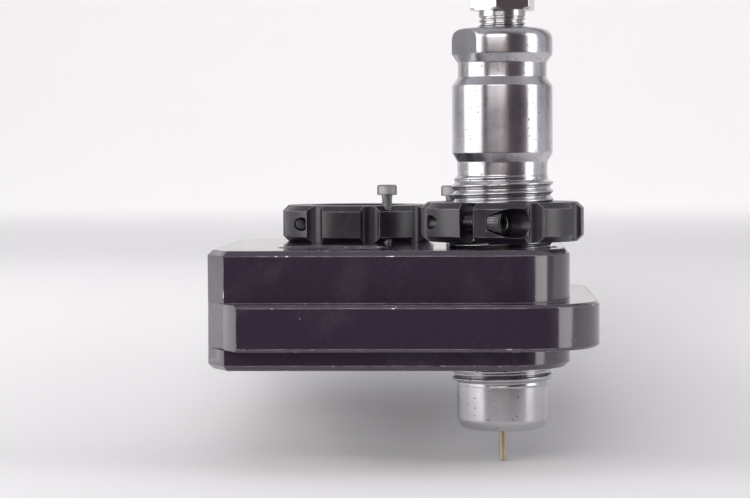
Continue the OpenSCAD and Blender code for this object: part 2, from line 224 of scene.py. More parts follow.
def rounded(outline, radius, steps=4, closed=True):
    """Rounds every corner of an outline. A corner P between A and C becomes the curve
    (1-s)^2 A' + 2 s (1-s) P + s^2 C', where A' and C' lie on the sides, one radius from P."""
    points = np.asarray(outline, dtype=float)
    before, after = np.roll(points, 1, axis=0) - points, np.roll(points, -1, axis=0) - points
    len_before = np.linalg.norm(before, axis=1, keepdims=True)
    len_after = np.linalg.norm(after, axis=1, keepdims=True)
    reach = np.minimum(radius, 0.45 * np.minimum(len_before, len_after))
    start, end = points + before / len_before * reach, points + after / len_after * reach
    s = np.linspace(0, 1, steps + 1)[None, :, None]
    curve = (1 - s) ** 2 * start[:, None] + 2 * s * (1 - s) * points[:, None] + s ** 2 * end[:, None]
    if closed:
        return curve.reshape(-1, 2)
    return np.vstack([points[:1], curve[1:-1].reshape(-1, 2), points[-1:]])


def arc(centre_r, centre_z, radius, start, end, steps=10):
    """Points centre + radius (cos a, sin a), with a in degrees from start to end."""
    a = np.radians(np.linspace(start, end, steps + 1))
    return np.column_stack([centre_r + radius * np.cos(a), centre_z + radius * np.sin(a)])


def refined(profile, low, high, step):
    """Adds points to each stretch of a profile between two heights, at most one step apart."""
    parts = []
    for a, b in zip(profile[:-1], profile[1:]):
        inside = min(a[1], b[1]) < high and max(a[1], b[1]) > low
        count = max(1, math.ceil(abs(b[1] - a[1]) / step)) if inside else 1
        parts.append(a + (b - a) * np.linspace(0, 1, count, endpoint=False)[:, None])
    return np.vstack(parts + [profile[-1:]])


def mesh_piece(name, points, faces, sharp_angle=28):
    """Puts points and faces into a mesh object, shaded smooth up to the given angle."""
    mesh = bpy.data.meshes.new(name)
    mesh.from_pydata(points, [], faces)
    mesh.validate()
    mesh.shade_smooth()
    mesh.set_sharp_from_angle(angle=math.radians(sharp_angle))
    piece = bpy.data.objects.new(name, mesh)
    bpy.context.collection.objects.link(piece)
    return piece


def turned(name, profile, shape, place, columns=144, angles=None, sharp_angle=75):
    """Surface of revolution: row i, column j is place(r cos t, r sin t, z), with r and z from row i of
    the profile, changed by shape(t, r, z), and t from 0 to a full turn. The profile runs up the outside.
    A profile that starts on the axis is closed by a pole at each end, any other one by its own loop."""
    t = np.linspace(0, TURN, columns, endpoint=False) if angles is None else angles
    columns = len(t)
    r, z = profile[:, :1] + 0 * t[None, :], profile[:, 1:] + 0 * t[None, :]
    tt = t[None, :] + 0 * r
    poles = profile[0, 0] < 1e-9
    r, z = shape(tt, r, z)
    points = np.stack([r * np.cos(tt), r * np.sin(tt), z], axis=-1)
    body = points[1:-1] if poles else points
    rows = len(body)
    i, j = np.meshgrid(np.arange(rows - 1 if poles else rows), np.arange(columns), indexing="ij")
    up, along = (i + 1) % rows, (j + 1) % columns
    quads = np.stack([i * columns + j, i * columns + along, up * columns + along, up * columns + j], axis=-1)
    faces = quads.reshape(-1, 4).tolist()
    flat = body.reshape(-1, 3)
    if poles:
        flat = np.vstack([flat, points[0, :1], points[-1, :1]])
        ring = np.arange(columns)
        following = (ring + 1) % columns
        last = (rows - 1) * columns
        low_pole, high_pole = rows * columns, rows * columns + 1
        faces += np.column_stack([following, ring, ring * 0 + low_pole]).tolist()
        faces += np.column_stack([last + ring, last + following, ring * 0 + high_pole]).tolist()
    return mesh_piece(name, place(flat), faces, sharp_angle)


def upright(centre_x, centre_y, base_z):
    """Places a turned shape upright on a point."""
    return lambda points: points + np.array([centre_x, centre_y, base_z])


def along_axis(origin, direction):
    """Places a turned shape with its own Z along a direction: x, y, z become the frame u, v, direction."""
    w = np.array(Vector(direction).normalized())
    u = np.cross([0.0, 0.0, 1.0], w) if abs(w[2]) < 0.9 else np.array([1.0, 0.0, 0.0])
    u /= np.linalg.norm(u)
    axes = np.stack([u, np.cross(w, u), w])
    return lambda points: points @ axes + np.array(origin)


def groove(t, z, pitch):
    """Depth of a sixty-degree thread, from 0 on the flat crest to 1 in the root, for a right-hand helix
    z = pitch t / turn."""
    phase = np.mod(z / pitch - t / TURN, 1)
    flank = np.clip((np.abs(2 * phase - 1) - 0.1) / 0.82, 0, 1)
    return 0.6 * flank + 0.4 * flank * flank * (3 - 2 * flank)


def fade(z, low, high, length):
    """1 between two heights, falling to 0 over a length at each end."""
    return np.clip((z - low) / length, 0, 1) * np.clip((high - z) / length, 0, 1)


def polygon_reach(t, reach, sides, turn):
    """Distance from the axis to the side of a polygon in direction t; one corner lies at turn."""
    step = TURN / sides
    return reach / np.cos(np.mod(t - turn, step) - step / 2)


def bake_modifiers(piece):
    """Replaces a piece's mesh by the one its modifiers make, and drops the modifiers."""
    evaluated = piece.evaluated_get(bpy.context.evaluated_depsgraph_get())
    piece.data = bpy.data.meshes.new_from_object(evaluated)
    piece.modifiers.clear()


def softened(node_name, name, radius, finish, edge_finish, body):
    """Copy of a CAD node with merged triangles and every edge over the crease angle rounded. The rounded
    edges take their own finish. On the plate and the rings that finish is paler: partly the wear of handling,
    partly a painted highlight along the edges."""
    crease = math.radians(28)
    mesh = frame["nodes"][node_name].data.copy()
    mesh.name = name
    work = bmesh.new()
    work.from_mesh(mesh)
    bmesh.ops.remove_doubles(work, verts=work.verts, dist=1e-6)
    bmesh.ops.dissolve_limit(
        work, angle_limit=math.radians(0.4), verts=work.verts, edges=work.edges, delimit={"NORMAL"})
    bmesh.ops.triangulate(work, faces=[face for face in work.faces if len(face.verts) > 4])
    work.to_mesh(mesh)
    work.free()
    mesh.materials.clear()
    mesh.materials.append(finish)
    mesh.materials.append(edge_finish)
    mesh.shade_smooth()
    mesh.set_sharp_from_angle(angle=crease)
    piece = bpy.data.objects.new(name, mesh)
    bpy.context.collection.objects.link(piece)
    bevel = piece.modifiers.new("worn edges", "BEVEL")
    bevel.width = radius
    bevel.segments = 2
    bevel.use_clamp_overlap = False
    bevel.limit_method = "ANGLE"
    bevel.angle_limit = crease
    bevel.harden_normals = True
    bevel.material = 1
    bevel.miter_outer = "MITER_ARC"
    weighted = piece.modifiers.new("flat faces stay flat", "WEIGHTED_NORMAL")
    weighted.keep_sharp = True
    weighted.weight = 100
    bake_modifiers(piece)
    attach(piece, body)
    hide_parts(node_name)
    return piece


def hand_over(piece, body, node_name, finish):
    """Gives a finished piece its material, its body and the CAD node it stands for."""
    piece.data.materials.append(finish)
    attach(piece, body)
    if node_name:
        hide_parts(node_name)
    return piece


# ---- materials ----

def add(tree, kind, inputs=None, stops=(), **settings):
    """Adds one node. The settings are its own, an input takes a value or another node's output, and
    stops are the places and colours along its ramp."""
    made = tree.nodes.new(kind)
    for key, value in settings.items():
        setattr(made, key, value)
    for number, (position, value) in enumerate(stops):
        along = made.color_ramp.elements
        stop = along[number] if number < 2 else along.new(position)
        stop.position, stop.color = position, value
    for key, value in (inputs or {}).items():
        if isinstance(value, bpy.types.NodeSocket):
            tree.links.new(value, made.inputs[key])
        else:
            made.inputs[key].default_value = value
    return made


def begin(name):
    """Starts a material: returns it, its empty node tree and its output node."""
    finish = bpy.data.materials.new(name)
    finish.use_nodes = True
    finish.node_tree.nodes.clear()
    return finish, finish.node_tree, add(finish.node_tree, "ShaderNodeOutputMaterial")


def grey(value):
    """An even grey as a colour."""
    return (value, value, value, 1.0)


def black_anodised_aluminium(colours):
    """Milled aluminium plate, bead blasted and dyed black: a dark violet-black skin with faint clouds
    1 to 2 mm across, a fine grain, slanting traces of the cutter and a little pale dust."""
    finish, tree, output = begin("black_anodised_milled_aluminium")
    place = add(tree, "ShaderNodeTexCoord").outputs["Object"]
    clouds = add(tree, "ShaderNodeTexNoise", {"Vector": place, "Scale": 1 / (1.6 * MM), "Detail": 5.0,
                                             "Roughness": 0.7})
    skin = add(tree, "ShaderNodeValToRGB", {"Fac": clouds.outputs["Fac"]},
               stops=((0.35, scaled(colours.anodise)), (0.75, scaled(colours.anodise_light))))
    specks = add(tree, "ShaderNodeTexVoronoi", {"Vector": place, "Scale": 1 / (2.6 * MM)})
    size_of_speck = add(tree, "ShaderNodeValToRGB", {"Fac": specks.outputs["Distance"]},
                        stops=((0.03, grey(1.0)), (0.055, grey(0.0))))
    chosen = add(tree, "ShaderNodeMath", {0: specks.outputs["Color"], 1: 0.72}, operation="GREATER_THAN")
    dusty = add(tree, "ShaderNodeMath", {0: size_of_speck.outputs["Color"], 1: chosen.outputs["Value"]},
                operation="MULTIPLY")
    top = add(tree, "ShaderNodeMix", {"Factor": dusty.outputs["Value"], "A": skin.outputs["Color"],
                                      "B": scaled(colours.dust)}, data_type="RGBA")
    slant = add(tree, "ShaderNodeMapping", {"Vector": place, "Rotation": (0.0, math.radians(38), 0.0)})
    passes = add(tree, "ShaderNodeTexWave", {"Vector": slant.outputs["Vector"], "Scale": 0.314 / (0.55 * MM),
                                             "Distortion": 1.5, "Detail": 1.0}, bands_direction="X")
    patches = add(tree, "ShaderNodeTexNoise", {"Vector": place, "Scale": 1 / (11 * MM), "Detail": 1.0})
    patch = add(tree, "ShaderNodeValToRGB", {"Fac": patches.outputs["Fac"]},
                stops=((0.54, grey(0.0)), (0.7, grey(0.09))))
    trace = add(tree, "ShaderNodeMath", {0: passes.outputs["Fac"], 1: patch.outputs["Color"]},
                operation="MULTIPLY")
    traced = add(tree, "ShaderNodeMix", {"Factor": trace.outputs["Value"], "A": top.outputs["Result"],
                                         "B": scaled(colours.edge_highlight_and_trace)}, data_type="RGBA")
    grain = add(tree, "ShaderNodeTexNoise", {"Vector": place, "Scale": 1 / (0.16 * MM), "Detail": 2.0})
    bump = add(tree, "ShaderNodeBump", {"Height": grain.outputs["Fac"], "Strength": 0.12,
                                        "Distance": 0.01 * MM})
    sheen = add(tree, "ShaderNodeValToRGB", {"Fac": clouds.outputs["Fac"]},
                stops=((0.3, grey(0.09)), (0.8, grey(0.15))))
    skin_shader = add(tree, "ShaderNodeBsdfPrincipled", {
        "Base Color": traced.outputs["Result"], "Roughness": sheen.outputs["Color"], "Metallic": 0.0,
        "IOR": 1.8, "Normal": bump.outputs["Normal"]})
    tree.links.new(skin_shader.outputs["BSDF"], output.inputs["Surface"])
    return finish


def edge_finish_with_painted_highlight(colours):
    """Anodised edge: every rounded edge of the plate gets a pale violet-grey line, partly a painted highlight
    and partly a thin dyed layer, with nicks 1 to 2 mm long where knocks have bared the aluminium."""
    finish, tree, output = begin("thin_anodised_edge")
    place = add(tree, "ShaderNodeTexCoord").outputs["Object"]
    wear = add(tree, "ShaderNodeTexNoise", {"Vector": place, "Scale": 1 / (3 * MM), "Detail": 4.0})
    # The pale tone on the edges is partly a painted highlight and partly a thin anodised layer.
    tone = add(tree, "ShaderNodeValToRGB", {"Fac": wear.outputs["Fac"]},
               stops=((0.3, scaled(colours.anodise_light)), (0.7, scaled(colours.edge_highlight_and_trace, 0.7))))
    knocks = add(tree, "ShaderNodeTexNoise", {"Vector": place, "Scale": 1 / (2.2 * MM), "Detail": 3.0})
    bare = add(tree, "ShaderNodeValToRGB", {"Fac": knocks.outputs["Fac"]},
               stops=((0.64, grey(0.0)), (0.68, grey(1.0))))
    skin = add(tree, "ShaderNodeMix", {"Factor": bare.outputs["Color"], "A": tone.outputs["Color"],
                                       "B": scaled(colours.dust)}, data_type="RGBA")
    shader = add(tree, "ShaderNodeBsdfPrincipled", {
        "Base Color": skin.outputs["Result"], "Metallic": bare.outputs["Color"], "Roughness": 0.3})
    tree.links.new(shader.outputs["BSDF"], output.inputs["Surface"])
    return finish


def turned_steel(name, base, dark, shine, lines_mm, line_depth, blotch_mm=6.0, pits=0.0):
    """Turned steel: fine rings left by the tool round the axis, lines_mm apart, and slow changes of
    shine blotch_mm across. Pits are small dark dots from handling."""
    finish, tree, output = begin(name)
    place = add(tree, "ShaderNodeTexCoord").outputs["Object"]
    flat = add(tree, "ShaderNodeMapping", {"Vector": place,
                                           "Scale": (1 / (30 * MM), 1 / (30 * MM), 1 / (lines_mm * MM))})
    rings = add(tree, "ShaderNodeTexNoise", {"Vector": flat.outputs["Vector"], "Scale": 1.0, "Detail": 3.0,
                                             "Roughness": 0.65})
    blotch = add(tree, "ShaderNodeTexNoise", {"Vector": place, "Scale": 1 / (blotch_mm * MM), "Detail": 4.0})
    tone = add(tree, "ShaderNodeValToRGB", {"Fac": blotch.outputs["Fac"]},
               stops=((0.3, scaled(dark)), (0.7, scaled(base))))
    colour_out = tone.outputs["Color"]
    if pits:
        dots = add(tree, "ShaderNodeTexVoronoi", {"Vector": place, "Scale": 1 / (0.9 * MM)})
        dot = add(tree, "ShaderNodeValToRGB", {"Fac": dots.outputs["Distance"]},
                  stops=((0.14, grey(1.0)), (0.22, grey(0.0))))
        some = add(tree, "ShaderNodeMath", {0: dots.outputs["Color"], 1: 1 - pits}, operation="GREATER_THAN")
        both = add(tree, "ShaderNodeMath", {0: dot.outputs["Color"], 1: some.outputs["Value"]},
                   operation="MULTIPLY")
        pitted = add(tree, "ShaderNodeMix", {"Factor": both.outputs["Value"], "A": colour_out,
                                             "B": linear("#4a4440")}, data_type="RGBA")
        colour_out = pitted.outputs["Result"]
    gloss = add(tree, "ShaderNodeValToRGB", {"Fac": blotch.outputs["Fac"]},
                stops=((0.25, grey(shine)), (0.75, grey(shine * 1.5))))
    bump = add(tree, "ShaderNodeBump", {"Height": rings.outputs["Fac"], "Strength": line_depth,
                                        "Distance": 0.01 * MM})
    lathe = add(tree, "ShaderNodeTangent", direction_type="RADIAL", axis="Z")
    shader = add(tree, "ShaderNodeBsdfPrincipled", {
        "Base Color": colour_out, "Metallic": 1.0, "Roughness": gloss.outputs["Color"],
        "Anisotropic": 0.6, "Anisotropic Rotation": 0.25, "Tangent": lathe.outputs["Tangent"],
        "Normal": bump.outputs["Normal"]})
    tree.links.new(shader.outputs["BSDF"], output.inputs["Surface"])
    return finish


def blackened_steel(name, base, dark, shine):
    """Turned steel, chemically blackened: a hard black oxide skin with the gloss of stone, faint cloudy
    patches 3 mm across from the oil in it, and a fine tool grain."""
    finish, tree, output = begin(name)
    place = add(tree, "ShaderNodeTexCoord").outputs["Object"]
    clouds = add(tree, "ShaderNodeTexNoise", {"Vector": place, "Scale": 1 / (3 * MM), "Detail": 5.0})
    tone = add(tree, "ShaderNodeValToRGB", {"Fac": clouds.outputs["Fac"]},
               stops=((0.3, scaled(dark)), (0.72, scaled(base))))
    grain = add(tree, "ShaderNodeTexNoise", {"Vector": place, "Scale": 1 / (0.22 * MM), "Detail": 3.0})
    bump = add(tree, "ShaderNodeBump", {"Height": grain.outputs["Fac"], "Strength": 0.22,
                                        "Distance": 0.015 * MM})
    gloss = add(tree, "ShaderNodeValToRGB", {"Fac": clouds.outputs["Fac"]},
                stops=((0.3, grey(shine)), (0.8, grey(shine * 1.35))))
    shader = add(tree, "ShaderNodeBsdfPrincipled", {
        "Base Color": tone.outputs["Color"], "Metallic": 0.0, "Roughness": gloss.outputs["Color"],
        "IOR": 1.65, "Normal": bump.outputs["Normal"]})
    tree.links.new(shader.outputs["BSDF"], output.inputs["Surface"])
    return finish


def studio_board(colours):
    """Matt painted board of the studio's floor and backdrop: pale, even and without gloss."""
    finish, tree, output = begin("matt_painted_board")
    shader = add(tree, "ShaderNodeBsdfPrincipled", {
        "Base Color": scaled(colours.floor), "Roughness": 0.9, "Specular IOR Level": 0.1})
    tree.links.new(shader.outputs["BSDF"], output.inputs["Surface"])
    return finish


def scaled(value, factor=1.0):
    """A colour made darker or lighter by a factor, with full alpha."""
    return tuple(c * factor for c in value[:3]) + (1.0,)


# ---- pieces ----

class DIEHEAD_OT_finish_plate(bpy.types.Operator):
    """Rounds the plate's edges and cuts the thread of the two open stations"""

    bl_idname = "diehead.finish_plate"
    bl_label = "Finish the head plate"

    def execute(self, context):
        threads, colours = context.scene.head_threads, context.scene.finish_colours
        skin = black_anodised_aluminium(colours)
        plate = softened("head_plate", "finished_head_plate", context.scene.edge_sizes.plate, skin,
                         edge_finish_with_painted_highlight(colours), "head")
        for mount in ("near_left_station", "far_right_station"):
            self.cut_station(mount, threads, skin)
        return {"FINISHED"}

    def cut_station(self, mount_name, threads, skin):
        """Thread of one station: a thin sleeve seated in the wall, whose inner face is a helix."""
        mount = MOUNTS[mount_name]
        root = mount["dims"]["r_mm"] * MM
        half = mount["dims"]["length_mm"] * MM / 2
        low, high = mount["pos_m"][2] - half, mount["pos_m"][2] + half
        rows = math.ceil((high - low) / (threads.die_pitch / 9))
        inner = np.column_stack([np.full(rows + 1, root), np.linspace(high, low, rows + 1)])
        wall = root + threads.sleeve_wall
        profile = np.vstack([[[wall, low], [wall, high]], inner])

        def shape(t, r, z):
            ridge = 1 - groove(t, z, threads.die_pitch)
            depth = threads.die_depth * ridge * fade(z, low, high, threads.mouth)
            return np.where(r < wall - threads.sleeve_wall / 2, r - depth + 0.02 * MM, r), z

        piece = turned(mount_name + "_thread", profile, shape,
                       upright(mount["pos_m"][0], mount["pos_m"][1], 0), columns=128, sharp_angle=60)
        hand_over(piece, "head", None, skin)


class DIEHEAD_OT_finish_rings(bpy.types.Operator):
    """Rounds the edges of both clamp rings and blackens them"""

    bl_idname = "diehead.finish_rings"
    bl_label = "Finish the clamp rings"

    def execute(self, context):
        colours, edges = context.scene.finish_colours, context.scene.edge_sizes
        black = blackened_steel("blackened_turned_steel", colours.ring, scaled(colours.ring, 0.55), 0.3)
        # The paler edge finish partly shows rubbed bare steel and partly paints a highlight along the rings'
        # edges.
        worn = blackened_steel("rubbed_ring_edge", colours.ring_rim_and_highlight, colours.ring, 0.28)
        for node_name, body in (("die_clamp_ring", "die_ring"), ("spare_clamp_ring", "spare_ring")):
            ring = softened(node_name, "finished_" + node_name, edges.ring, black, worn, body)
        return {"FINISHED"}


class DIEHEAD_OT_turn_die(bpy.types.Operator):
    """Turns the die: nose, thread, grooves, barrel, head with two wrench flats, and the chamber"""

    bl_idname = "diehead.turn_die"
    bl_label = "Turn the die"

    def execute(self, context):
        d, threads = context.scene.die_sizes, context.scene.head_threads
        colours = context.scene.finish_colours
        runout = d.nose_len
        thread_low = runout + d.thread_r - d.nose_r
        thread_high = thread_low + d.thread_len
        groove_low = thread_high + d.thread_r - d.lower_groove_r
        barrel_low = groove_low + d.lower_groove_len + d.cone_len
        barrel_high = barrel_low + d.barrel_len
        neck_low = barrel_high + d.cone_len
        neck_high = neck_low + d.upper_groove_len
        head_low = neck_high + d.cone_len
        shoulder = head_low + d.head_len
        crown = shoulder + d.crown_rise
        chamber_end = d.chamber_depth + d.chamber_r - d.bore_r
        recess = crown - d.bush_hole_depth
        straight = np.array([
            [d.nose_r, runout], [d.thread_r, thread_low], [d.thread_r, thread_high],
            [d.lower_groove_r, groove_low], [d.lower_groove_r, groove_low + d.lower_groove_len],
            [d.barrel_r, barrel_low], [d.barrel_r, barrel_high], [d.upper_groove_r, neck_low],
            [d.upper_groove_r, neck_high], [d.barrel_r, head_low], [d.barrel_r, shoulder - d.shoulder_r]])
        outside = np.vstack([
            arc(d.nose_r - d.nose_edge, d.nose_edge, d.nose_edge, -90, 0)[:-1],
            rounded(np.vstack([[d.nose_r, d.nose_edge], straight]), d.edge, closed=False)[:-1],
            arc(d.barrel_r - d.shoulder_r, shoulder - d.shoulder_r, d.shoulder_r, 0, 90)])
        inside = rounded([
            [d.nose_r - d.nose_edge, 0], [d.bush_hole_r + d.edge, crown], [d.bush_hole_r, crown - d.edge],
            [d.bush_hole_r, recess], [d.bore_r, recess], [d.bore_r, chamber_end],
            [d.chamber_r, d.chamber_depth], [d.chamber_r, 2 * d.edge], [d.chamber_r + d.edge, 0],
            [d.nose_r - d.nose_edge, 0]], d.edge, closed=False)[1:-1]
        outside = refined(outside, runout, thread_high + d.lower_groove_len, threads.die_pitch / 10)
        profile = np.vstack([outside, inside])

        def shape(t, r, z):
            outer = r > d.chamber_r + 2 * MM
            depth = threads.die_depth * groove(t, z, threads.die_pitch)
            top = np.clip((d.thread_r - d.edge + threads.die_depth - r) / threads.die_depth, 0, 1)
            cut = np.minimum(depth, np.maximum(r - d.nose_r, 0)) * fade(z, runout, groove_low, 0.2 * MM) * top
            r = np.where(outer, r - cut, r)
            facing = np.abs(np.cos(t - d.flat_turn))
            flat = d.flat_reach / np.maximum(facing, 1e-3)
            return np.where(outer & (z > neck_high), np.minimum(r, flat), r), z

        t = np.linspace(0, TURN, 252, endpoint=False)
        spread = math.acos(d.flat_reach / d.barrel_r)
        for edge in (d.flat_turn + spread, d.flat_turn - spread):
            for side in (edge, edge + math.pi):
                t[np.argmin(np.abs(t - side % TURN))] = side % TURN
        piece = turned("turned_die", profile, shape, upright(DIE_AXIS.x, DIE_AXIS.y, DIE_LOW.z), angles=t)
        self.crisp_above(piece.data, DIE_LOW.z + groove_low)
        steel = turned_steel("polished_turned_steel", colours.die, scaled(colours.die, 0.8), 0.2, 0.22,
                             0.3, blotch_mm=9.0, pits=0.45)
        hand_over(piece, "die", "die_body", steel)
        return {"FINISHED"}

    def crisp_above(self, mesh, height):
        """Marks the edges above a height sharp from 22 degrees, and leaves the thread's soft."""
        ends, heights = np.empty(2 * len(mesh.edges), int), np.empty(3 * len(mesh.vertices))
        mesh.edges.foreach_get("vertices", ends)
        mesh.vertices.foreach_get("co", heights)
        high = heights[2::3][ends].reshape(-1, 2).min(axis=1) > height
        soft, crisp = np.zeros(len(high), bool), np.zeros(len(high), bool)
        mesh.edges.foreach_get("use_edge_sharp", soft)
        mesh.set_sharp_from_angle(angle=math.radians(22))
        mesh.edges.foreach_get("use_edge_sharp", crisp)
        mesh.edges.foreach_set("use_edge_sharp", np.where(high, crisp, soft))


class DIEHEAD_OT_turn_unit(bpy.types.Operator):
    """Turns the bush, the spindle, the lock nut, the button, the pin holder and the pin"""

    bl_idname = "diehead.turn_unit"
    bl_label = "Turn the decapping unit"

    def execute(self, context):
        colours = context.scene.finish_colours
        bright = turned_steel("bright_turned_steel", colours.bright, scaled(colours.bright, 0.82), 0.16,
                              0.3, 0.25)
        wire = turned_steel("drawn_steel_wire", colours.pin, scaled(colours.pin, 0.75), 0.22, 0.5, 0.1)
        self.turn_bush(context.scene.unit_sizes, bright, context.scene.edge_sizes.small)
        self.turn_spindle(context.scene.unit_sizes, bright)
        self.turn_nut(context.scene.unit_sizes, bright, context.scene.edge_sizes.small)
        for node_name, body, slot, finish in (
                ("expander_button", "spindle", "bush_steel", bright),
                ("pin_holder", "holder", "spindle_steel", bright),
                ("decapping_pin", "holder", "pin_steel", wire)):
            piece = softened(node_name, "finished_" + node_name, context.scene.edge_sizes.small, finish,
                             finish, body)
        return {"FINISHED"}

    def turn_bush(self, u, finish, edge):
        """Threaded bush with a hexagon: the radius is the lesser of the turned profile and the
        hexagon's sides."""
        low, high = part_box("hex_bush")
        corner = u.hex_reach / math.cos(math.pi / 6)
        hex_low, bore = high.z - u.hex_len, u.spindle_r + 0.05 * MM
        bevel = 0.6 * MM
        outline = rounded([
            [bore, low.z], [u.bush_r - bevel / 2, low.z], [u.bush_r, low.z + bevel / 2], [u.bush_r, hex_low],
            [corner - bevel, hex_low], [corner, hex_low + bevel], [corner, high.z - bevel],
            [corner - bevel, high.z], [bore, high.z]], edge / 2)
        profile = refined(outline, low.z, hex_low - edge, u.bush_pitch / 10)

        def shape(t, r, z):
            side = polygon_reach(t, u.hex_reach, 6, u.hex_turn)
            cut = u.bush_depth * groove(t, z, u.bush_pitch) * fade(z, low.z, hex_low - u.plain_neck, 0.3 * MM)
            neck = (r > u.bush_r - 0.5 * bevel) & (z < hex_low - edge)
            return np.where(neck, r - cut, np.where(z > hex_low - edge, np.minimum(r, side), r)), z

        angles = np.sort(np.append(np.linspace(0, TURN, 138, endpoint=False),
                                   np.mod(u.hex_turn + np.arange(6) * TURN / 6 + 1e-4, TURN)))
        piece = turned("turned_bush", profile, shape, upright(DIE_AXIS.x, DIE_AXIS.y, 0), angles=angles)
        hand_over(piece, "bush", "hex_bush", finish)

    def turn_spindle(self, u, finish):
        """Threaded spindle: a right-hand helix cut into a bar, and a driver slot sawn into its top."""
        low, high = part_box("spindle")
        bevel = 0.3 * MM
        profile = refined(np.array([
            [0, low.z], [u.spindle_r - bevel, low.z], [u.spindle_r, low.z + bevel],
            [u.spindle_r, high.z - bevel], [u.spindle_r - bevel, high.z], [0, high.z]]),
            low.z, high.z, u.spindle_pitch / 6)

        def shape(t, r, z):
            cut = u.spindle_depth * groove(t, z, u.spindle_pitch) * fade(z, low.z, high.z - bevel, bevel)
            return np.where(r > u.spindle_r - bevel / 2, r - cut, r), z

        piece = turned("cut_spindle", profile, shape, upright(DIE_AXIS.x, DIE_AXIS.y, 0), columns=48)
        reach, half = 2 * u.spindle_r, u.slot_width / 2
        bpy.ops.mesh.primitive_cube_add(size=1)
        saw = bpy.context.active_object
        middle_of_saw = np.array([DIE_AXIS.x, DIE_AXIS.y, high.z - u.slot_depth + reach / 2])
        points = np.array([v.co for v in saw.data.vertices])
        points = points * [2 * reach, 2 * half, reach] + middle_of_saw
        saw.data.vertices.foreach_set("co", points.ravel())
        slot = piece.modifiers.new("slot", "BOOLEAN")
        slot.object = saw
        slot.operation = "DIFFERENCE"
        bake_modifiers(piece)
        bpy.data.objects.remove(saw)
        hand_over(piece, "spindle", "spindle", finish)

    def turn_nut(self, u, finish, edge):
        """Lock nut: the radius is the lesser of a chamfered bar and a hexagon."""
        low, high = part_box("spindle_lock_nut")
        corner = u.nut_reach / math.cos(math.pi / 6)
        bevel, bore = 0.6 * MM, u.spindle_r + 0.05 * MM
        profile = rounded([
            [bore + bevel / 2, low.z], [corner - bevel, low.z], [corner, low.z + bevel],
            [corner, high.z - bevel], [corner - bevel, high.z], [bore + bevel / 2, high.z],
            [bore, high.z - bevel / 2], [bore, low.z + bevel / 2]], edge / 2)
        turn = -u.hex_turn

        def shape(t, r, z):
            return np.minimum(r, polygon_reach(t, u.nut_reach, 6, turn)), z

        angles = np.sort(np.append(np.linspace(0, TURN, 90, endpoint=False),
                                   np.mod(turn + np.arange(6) * TURN / 6 + 1e-4, TURN)))
        piece = turned("turned_lock_nut", profile, shape, upright(DIE_AXIS.x, DIE_AXIS.y, 0), angles=angles)
        hand_over(piece, "lock_nut", "spindle_lock_nut", finish)


class DIEHEAD_OT_turn_screws(bpy.types.Operator):
    """Turns the two clamp screws and the two stop screws"""

    bl_idname = "diehead.turn_screws"
    bl_label = "Turn the screws"

    def execute(self, context):
        s, colours = context.scene.screw_sizes, context.scene.finish_colours
        dark = turned_steel("rubbed_black_screw_steel", colours.screw, scaled(colours.screw, 0.5), 0.24,
                            0.3, 0.2)
        bright = turned_steel("bright_screw_steel", scaled(colours.bright, 0.62),
                              scaled(colours.bright, 0.45), 0.36, 0.3, 0.2)
        clamp = (s.clamp_r, s.clamp_pitch, s.clamp_head_r, s.clamp_head_len, s.clamp_len, s.clamp_key)
        stop = (s.stop_r, s.stop_pitch, s.stop_head_r, s.stop_head_len, s.stop_len, s.stop_key)
        for ring, body in (("die_ring", "die_clamp_screw"), ("spare_ring", "spare_clamp_screw")):
            joint = JOINTS[ring + "_clamp_screw_turn"]
            self.turn_screw(ring + "_clamp_screw", clamp, along_axis(joint["pos_m"], joint["axis"]), body,
                            "clamp_screw_steel", dark, s.knurl)
        for ring, body in (("die_ring", "die_stop_screw"), ("spare_ring", "spare_pivot")):
            low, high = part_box(ring + "_stop_screw")
            seat = high.z - s.stop_head_len
            place = upright((low.x + high.x) / 2, (low.y + high.y) / 2, seat)
            self.turn_screw(ring + "_stop_screw", stop, place, body, "stop_screw_steel", bright, s.knurl)
        return {"FINISHED"}

    def turn_screw(self, node_name, sizes, place, body, slot, finish, knurl):
        """Socket-head cap screw: a knurled head, a helical thread and a hexagonal socket, all as one
        profile turned round the axis. The underside of the head is at z = 0."""
        r, pitch, head_r, head_len, length, key = sizes
        bevel, socket = 0.3 * MM, min(1.6 * MM, 0.65 * head_len)
        mouth = key / 2 / math.cos(math.pi / 6)
        outline = np.vstack([
            [[0, -length]], rounded([
                [0, -length], [r - bevel, -length], [r, bevel - length], [r, 0], [head_r - bevel / 3, 0],
                [head_r, bevel / 3], [head_r, head_len - bevel], [head_r - bevel, head_len],
                [mouth + bevel / 3, head_len], [mouth, head_len - bevel / 3], [mouth, head_len - socket],
                [0, head_len - socket]], 0.06 * MM, closed=False)[1:-1], [[0, head_len - socket]]])
        profile = refined(outline, -length, -0.3 * pitch, pitch / 8)

        def shape(t, rr, z):
            cut = 0.54 * pitch * groove(t, z, pitch) * fade(z, -length, -pitch, bevel)
            shank = (rr > r - bevel / 2) & (z < 0)
            ribs = knurl * np.abs(np.sin(t * 18)) * (rr > head_r - bevel / 4) * (z > bevel / 2)
            hexagon = polygon_reach(t, key / 2, 6, 0.0)
            recess = (rr <= mouth + bevel / 6) & (z > 0)
            inner = np.where(recess, np.minimum(rr, hexagon * rr / mouth), rr)
            return np.where(shank, rr - cut, inner - ribs), z

        piece = turned("turned_" + node_name, profile, shape, place, columns=144)
        hand_over(piece, body, node_name, finish)


